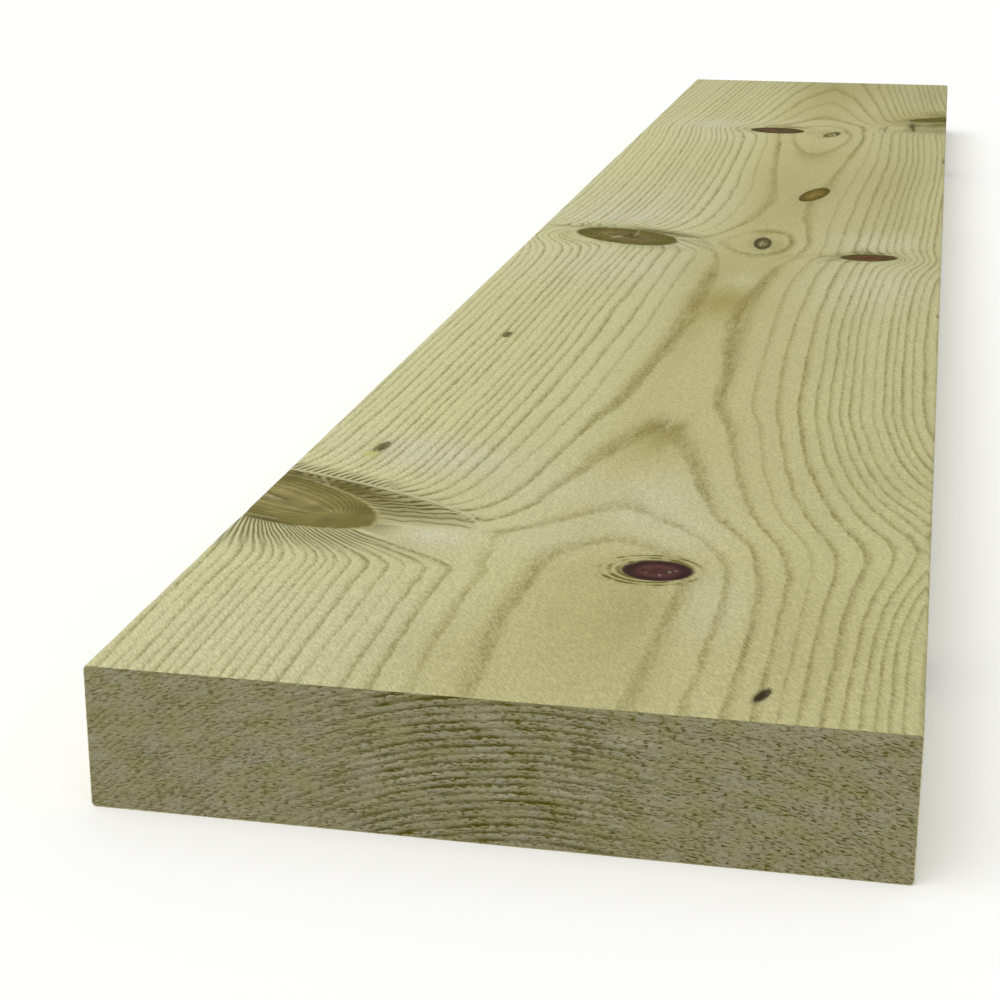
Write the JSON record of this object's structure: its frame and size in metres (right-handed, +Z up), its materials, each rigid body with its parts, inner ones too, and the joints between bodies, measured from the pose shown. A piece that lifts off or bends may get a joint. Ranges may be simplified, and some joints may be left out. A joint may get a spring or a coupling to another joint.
{
  "type": "timber plank",
  "caption": "Wide flat-sawn softwood plank with eased arrises and square-sawn ends, knotty, one solid piece of stock.",
  "frame": {"origin": "on the floor, under the middle of the plank lying flat", "axes": "+Y along the length from the near sawn end to the far one, +X across the width towards the right edge, +Z up through the thickness"},
  "size_m": [0.25, 1.6, 0.047],
  "materials": {
    "treated_softwood": "planed faces and rough-sawn ends, pale greenish yellow from pressure treatment, unfinished"
  },
  "bodies": {
    "root": {"plank": "treated_softwood"}
  },
  "joints": []
}
